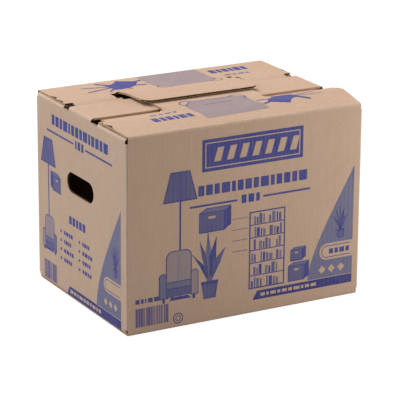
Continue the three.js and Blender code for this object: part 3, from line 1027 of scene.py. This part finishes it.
def bar_row_tree():
    """Adds a row of upright bars of uneven width, on a plane that is turned to face one of the walls."""
    t = bpy.data.node_groups.new("bar_row", "GeometryNodeTree")
    t.interface.new_socket("Geometry", in_out="INPUT", socket_type="NodeSocketGeometry")
    for title, kind in (("Ink", "Material"), ("Count", "Int"), ("Start", "Vector"), ("Pitch", "Float"),
                        ("Thin", "Float"), ("Thick", "Float"), ("Height", "Float"), ("Turn", "Float"),
                        ("Seed", "Int")):
        t.interface.new_socket(title, in_out="INPUT", socket_type="NodeSocket" + kind)
    t.interface.new_socket("Geometry", in_out="OUTPUT", socket_type="NodeSocketGeometry")
    group_in, group_out = t.nodes.new("NodeGroupInput"), t.nodes.new("NodeGroupOutput")
    given = group_in.outputs

    def shaped(kind, values):
        node = t.nodes.new("GeometryNode" + kind)
        give(t, node, values)
        return node.outputs[0]

    step = made(t, "CombineXYZ", {"X": given["Pitch"]})
    line = shaped("MeshLine", {"Count": given["Count"], "Start Location": given["Start"],
                               "Offset": step.outputs[0]})
    bar = shaped("MeshGrid", {"Size X": 1, "Size Y": 1, "Vertices X": 2, "Vertices Y": 2})
    width = t.nodes.new("FunctionNodeRandomValue")
    width.data_type = "FLOAT"
    for title, size in (("Min", "Thin"), ("Max", "Thick")):
        socket = [i for i in width.inputs if i.name == title and i.type == "VALUE"][0]
        link(t, given[size], socket)
    link(t, given["Seed"], width.inputs["Seed"])
    uneven = [o for o in width.outputs if o.type == "VALUE"][0]
    size = made(t, "CombineXYZ", {"X": uneven, "Y": given["Height"], "Z": 1})

    row = shaped("InstanceOnPoints", {"Points": line, "Instance": bar, "Scale": size.outputs[0]})
    real = shaped("RealizeInstances", {0: row})
    place = t.nodes.new("GeometryNodeInputPosition").outputs[0]
    store = t.nodes.new("GeometryNodeStoreNamedAttribute")
    store.data_type, store.domain = "FLOAT2", "CORNER"
    store.inputs["Name"].default_value = "board"
    give(t, store, {"Geometry": real, "Value": place})

    angles = made(t, "CombineXYZ", {"X": math.pi / 2, "Z": given["Turn"]})
    turn = shaped("Transform", {"Geometry": store.outputs[0], "Rotation": angles.outputs[0]})
    inked = shaped("SetMaterial", {"Geometry": turn, "Material": given["Ink"]})
    join = t.nodes.new("GeometryNodeJoinGeometry")
    for rows in (inked, given["Geometry"]):
        link(t, rows, join.inputs[0])
    link(t, join.outputs[0], group_out.inputs["Geometry"])
    return t


THIN_BAR, THICK_BAR = 0.28, 0.82


def bar_rows(name, rows):
    """One plain mesh from a stack of bar rows; sizes in millimetres, the turn in degrees."""
    tree = bar_row_tree()
    sockets = {i.name: i.identifier for i in tree.interface.items_tree if i.in_out == "INPUT"}
    source = linked(name + "_source", bpy.data.meshes.new(name + "_source"))
    for turn, out, left, low, high, count, pitch, seed in rows:
        m = source.modifiers.new("row", "NODES")
        m.node_group = tree
        m[sockets["Ink"]] = dark_ink
        m[sockets["Count"]] = count
        m[sockets["Start"]] = [(left + pitch / 2) * MM, (low + high) / 2 * MM, (out + SKIN) * MM]
        m[sockets["Pitch"]] = pitch * MM
        m[sockets["Thin"]] = pitch * THIN_BAR * MM
        m[sockets["Thick"]] = pitch * THICK_BAR * MM
        m[sockets["Height"]] = (high - low) * MM
        m[sockets["Turn"]] = math.radians(turn)
        m[sockets["Seed"]] = seed
    bpy.context.view_layer.update()
    mesh = bpy.data.meshes.new_from_object(source.evaluated_get(bpy.context.evaluated_depsgraph_get()))
    bpy.data.objects.remove(source)
    mesh.name = name
    obj = linked(name, mesh)
    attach(obj, "root")


# Turn, distance out, left end, low, high, count of bars, pitch, seed
bar_rows("print_bar_rows", [
    (0, HW, -186, 12, 41, 20, 2.75, 3),
    (180, HW, -186, 12, 41, 20, 2.75, 3),
    (-90, HL, -130, 8, 38, 16, 2.9, 8),
    (90, HL, -130, 8, 38, 16, 2.9, 8),
])
print_long_wall("print_front", "front")
print_long_wall("print_back", "back")
print_end_wall("print_left_end", "left")
print_end_wall("print_right_end", "right")


def flap_print(name, where, sign, tears):
    """Grey field, two curved handles and a blue burst, the same on both long flaps."""
    p = Print(name, where, INKS)
    ox, oy = (0, -76) if sign > 0 else (24, 100)

    def at(points):
        return [(ox + sign * a, oy + sign * b) for a, b in points]
    p.shape(at([(-50, 26), (-34, 44), (36, 44), (56, 30), (56, -44), (-50, -46)]), GREY_INK)
    p.line(at([(-50, 24), (-34, 42), (36, 42), (54, 28)]), 2.0, MID_INK, 1)
    p.line(at(arc(-40, 36, 13, 12, 40, 250)), 2.4, MID_INK, 2)
    p.line(at(arc(44, 34, 13, 12, -60, 150)), 2.4, MID_INK, 2)
    p.line(at([(-20, 20), (26, 20)]), 1.6, MID_INK, 1)
    p.line(at([(-12, 10), (18, 10)]), 1.6, PALE_INK, 1)
    cx, cy = 104, -8
    rays = ((15, 14, 60, 3), (48, 12, 38, 3), (165, 12, 46, 4), (205, 10, 52, 4), (250, 12, 36, 3),
            (310, 12, 44, 4), (345, 16, 60, 2), (110, 12, 34, 3))
    for n, (angle, near, far, width) in enumerate(rays):
        c, s = math.cos(math.radians(angle)), math.sin(math.radians(angle))
        ray = [(cx + c * r, cy + s * r * 0.8) for r in (near, far)]
        p.line(at(ray), width * 1.3, DARK_INK, n)
    blade = arc(cx + 8, cy - 34, 50, 54, 158, 84) + arc(cx + 16, cy - 40, 26, 28, 84, 158)
    p.shape(at(blade), DARK_INK, 9)
    p.bars(*sorted((ox - sign * 128, ox - sign * 62)), *sorted((oy - sign * 9, oy - sign * 28)),
           [9, 6, 8, 5, 9, 7], 2.4, DARK_INK, 1)
    p.bars(*sorted((ox - sign * 118, ox - sign * 74)), *sorted((oy + sign * 6, oy + sign * 12)),
           [9, 6, 8, 5], 3, MID_INK, 1)
    for side, y0, y1, depth, seed in tears:
        torn_edge(p, side, y0, y1, depth, seed)
    p.done()


# Each tear: end of the flap, from, to, depth, seed
flap_print("print_front_flap", "front_flap", 1,
           [(-1, -104, -76, 5.5, 4), (-1, -72, -64, 3.0, 9), (1, -90, -80, 1.6, 6)])
flap_print("print_back_flap", "back_flap", -1,
           [(-1, 62, 82, 5.0, 7), (-1, 84, 106, 5.5, 2), (1, 70, 84, 1.8, 5)])


# ------------ floor, light, camera
def seen_by_eye(tree):
    """One for rays from the camera, a mirror or a clear piece, zero for light that falls on the carton."""
    path = made(tree, "LightPath", {})
    seen = math_node(tree, "MAXIMUM", path.outputs["Is Camera Ray"], path.outputs["Is Glossy Ray"])
    return math_node(tree, "MAXIMUM", seen, path.outputs["Is Transmission Ray"])


def two_ways(tree, output, share, unseen, seen):
    """Mixes what lights the carton and what the eye sees behind it."""
    mix = made(tree, "MixShader", {0: share, 1: unseen.outputs[0], 2: seen.outputs[0]})
    made(tree, output, {"Surface": mix.outputs[0]})


FLOOR_HALF, FLOOR_Z = 6, -0.0006
ground = bpy.data.meshes.new("ground")
ground.from_pydata([(-FLOOR_HALF, -FLOOR_HALF, FLOOR_Z), (FLOOR_HALF, -FLOOR_HALF, FLOOR_Z),
                    (FLOOR_HALF, FLOOR_HALF, FLOOR_Z), (-FLOOR_HALF, FLOOR_HALF, FLOOR_Z)],
                   [], [(0, 1, 2, 3)])
floor = linked("floor", ground)
floor_white = bpy.data.materials.new("floor_white")
floor_white.use_nodes = True
ft = floor_white.node_tree
ft.nodes.clear()
two_ways(ft, "OutputMaterial", math_node(ft, "MULTIPLY", seen_by_eye(ft), 0.8),
         made(ft, "BsdfDiffuse", {"Color": (0.5, 0.5, 0.5, 1)}),
         made(ft, "Emission", {"Color": (1, 1, 1, 1), "Strength": 1.2}))
ground.materials.append(floor_white)

world = bpy.data.worlds.new("studio")
world.use_nodes = True
bpy.context.scene.world = world
wt = world.node_tree
wt.nodes.clear()
two_ways(wt, "OutputWorld", seen_by_eye(wt),
         made(wt, "Background", {"Color": (1, 0.985, 0.97, 1), "Strength": 0.15}),
         made(wt, "Background", {"Color": (1, 1, 1, 1), "Strength": 1.0}))


def area(name, place, target, size, power, colour=(1, 1, 1)):
    data = bpy.data.lights.new(name, "AREA")
    data.shape = "RECTANGLE"
    data.size, data.size_y = size
    data.energy = power
    data.color = colour
    obj = linked(name, data)
    obj.location = place
    obj.rotation_euler = (Vector(target) - Vector(place)).to_track_quat("-Z", "Y").to_euler()


area("overhead", (-0.3, 0.95, 2.0), (0, 0, 0.2), (1.7, 1.7), 38, (1.0, 0.985, 0.955))
area("left_side", (-2.2, 0.2, 0.8), (-0.2, 0, 0.15), (1.6, 1.6), 23, (0.8, 0.9, 1.0))
area("right_front", (1.02, -0.7, 0.52), (0.25, -0.15, 0.2), (0.6, 0.6), 11)

# Camera fitted to the corners of the carton in the photograph
AZ, EL, ROLL, DIST = math.radians(-29.21), math.radians(17.79), math.radians(0.38), 3.479
FOCAL_PIXELS, PHOTO_WIDTH, SENSOR = 2260, 400, 36
AIM = Vector((0.0046, 0, 0.1376))
back = Vector((math.sin(AZ) * math.cos(EL), -math.cos(AZ) * math.cos(EL), math.sin(EL)))
x_axis = Vector((0, 0, 1)).cross(back).normalized()
y_axis = back.cross(x_axis)
xr = x_axis * math.cos(ROLL) + y_axis * math.sin(ROLL)
yr = y_axis * math.cos(ROLL) - x_axis * math.sin(ROLL)
data = bpy.data.cameras.new("camera")
data.sensor_width = SENSOR
data.lens = FOCAL_PIXELS / PHOTO_WIDTH * SENSOR
data.clip_end = 50
camera = linked("camera", data)
spot = AIM + back * DIST
camera.matrix_world = Matrix([[xr[n], yr[n], back[n], spot[n]] for n in range(3)] + [[0, 0, 0, 1]])
bpy.context.scene.camera = camera
bpy.context.scene.view_settings.view_transform = "Standard"
